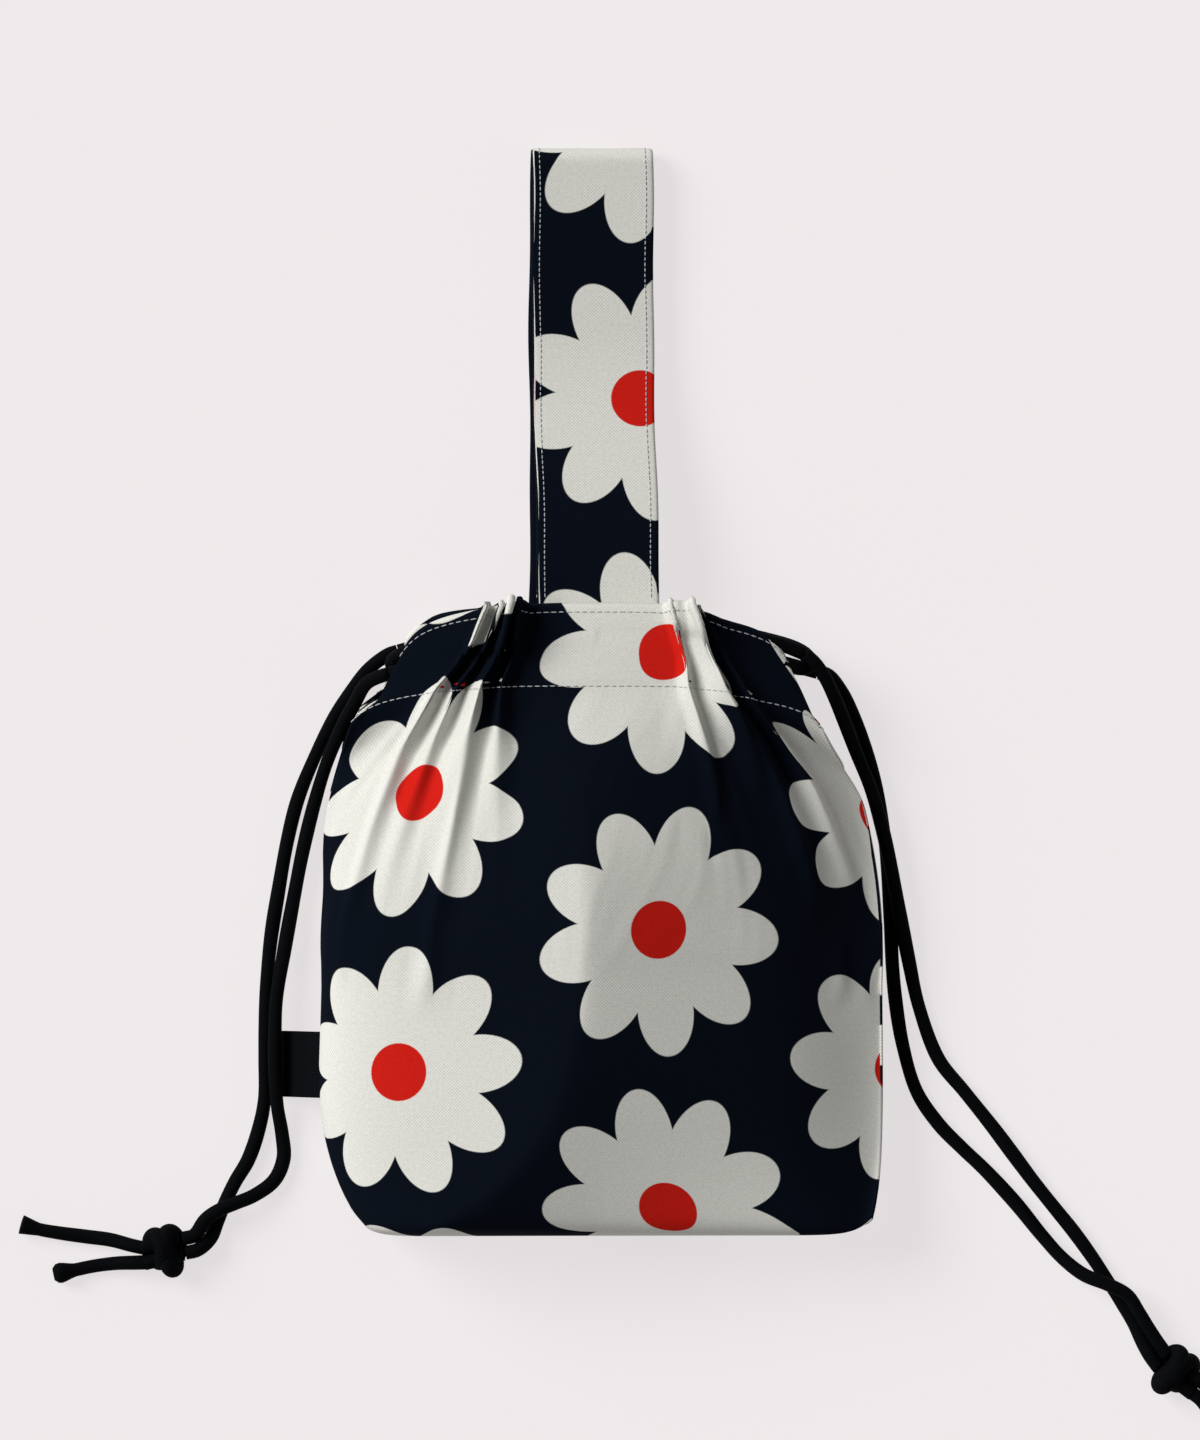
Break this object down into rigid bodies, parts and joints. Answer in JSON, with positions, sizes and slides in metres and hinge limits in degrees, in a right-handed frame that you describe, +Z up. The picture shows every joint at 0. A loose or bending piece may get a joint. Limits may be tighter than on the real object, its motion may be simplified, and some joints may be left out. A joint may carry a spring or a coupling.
{
  "type": "drawstring pouch",
  "caption": "Soft gathered kinchaku pouch of printed canvas lying on its back, with a wide handle strap, a boxed base, a side label and black drawcords knotted at each side",
  "frame": {"origin": "on the flat face of the back panel that the pouch lies on, on the middle line of the body, 90.7 mm above its base end", "axes": "+Z up, away from the surface the pouch lies on; +Y from the base to the handle strap; +X to the right of the front panel"},
  "size_m": [0.4275, 0.4377, 0.055],
  "materials": {
    "printed_canvas": "matt plain-weave canvas, navy with a white and red flower print",
    "drawcord": "matt black braid",
    "woven_label": "close woven black tape"
  },
  "bodies": {
    "root": {"front_panel": "printed_canvas", "back_panel": "printed_canvas", "handle_strap": "printed_canvas", "side_label": "woven_label", "left_cord_channel_loop": "drawcord", "left_cord_front_strand": "drawcord", "left_cord_back_strand": "drawcord", "left_cord_knot": "drawcord", "left_cord_upper_tail": "drawcord", "left_cord_lower_tail": "drawcord", "right_cord_channel_loop": "drawcord", "right_cord_front_strand": "drawcord", "right_cord_back_strand": "drawcord", "right_cord_knot": "drawcord", "right_cord_upper_tail": "drawcord", "right_cord_lower_tail": "drawcord"}
  },
  "joints": []
}
